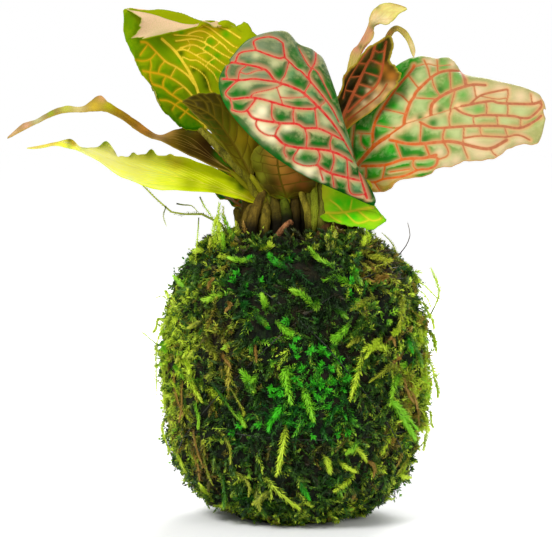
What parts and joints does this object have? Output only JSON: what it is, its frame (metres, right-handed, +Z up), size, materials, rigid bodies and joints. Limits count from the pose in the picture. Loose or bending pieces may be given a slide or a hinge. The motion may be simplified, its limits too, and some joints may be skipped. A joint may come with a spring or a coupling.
{
  "type": "kokedama moss ball plant",
  "caption": "Kokedama: a soil ball wrapped in living moss and nylon line, with a red-veined nerve plant growing from its top, standing on a small flat foot.",
  "frame": {"origin": "centre of the flat resting spot under the moss ball", "axes": "+Z up through the ball, +X along the spread of the leaves to the viewer's right, +Y away from the viewer"},
  "size_m": [0.2116, 0.1205, 0.2018],
  "materials": {
    "moss": "matte",
    "soil": "matte",
    "nylon_line": "satin",
    "stem": "satin",
    "dry_stalk": "matte",
    "leaf_red_veined": "satin",
    "leaf_yellow_green": "satin",
    "leaf_bronze": "satin",
    "leaf_pale": "satin"
  },
  "bodies": {
    "root": {"binding_line": "nylon_line", "dry_stalk": "dry_stalk", "leaf_back_curl": "leaf_pale", "leaf_back_left": "leaf_yellow_green", "leaf_back_mid": "leaf_bronze", "leaf_back_tall": "leaf_pale", "leaf_front": "leaf_red_veined", "leaf_inner": "leaf_bronze", "leaf_left_lower": "leaf_yellow_green", "leaf_left_upper": "leaf_yellow_green", "leaf_low_left": "leaf_red_veined", "leaf_lower_right": "leaf_yellow_green", "leaf_mid_inner": "leaf_bronze", "leaf_rear_high": "leaf_red_veined", "leaf_rear_low": "leaf_red_veined", "leaf_right": "leaf_red_veined", "moss_cover": "moss", "soil_ball": "soil", "stem_back": "stem", "stem_centre": "stem", "stem_left": "stem", "stem_right": "stem"}
  },
  "joints": []
}
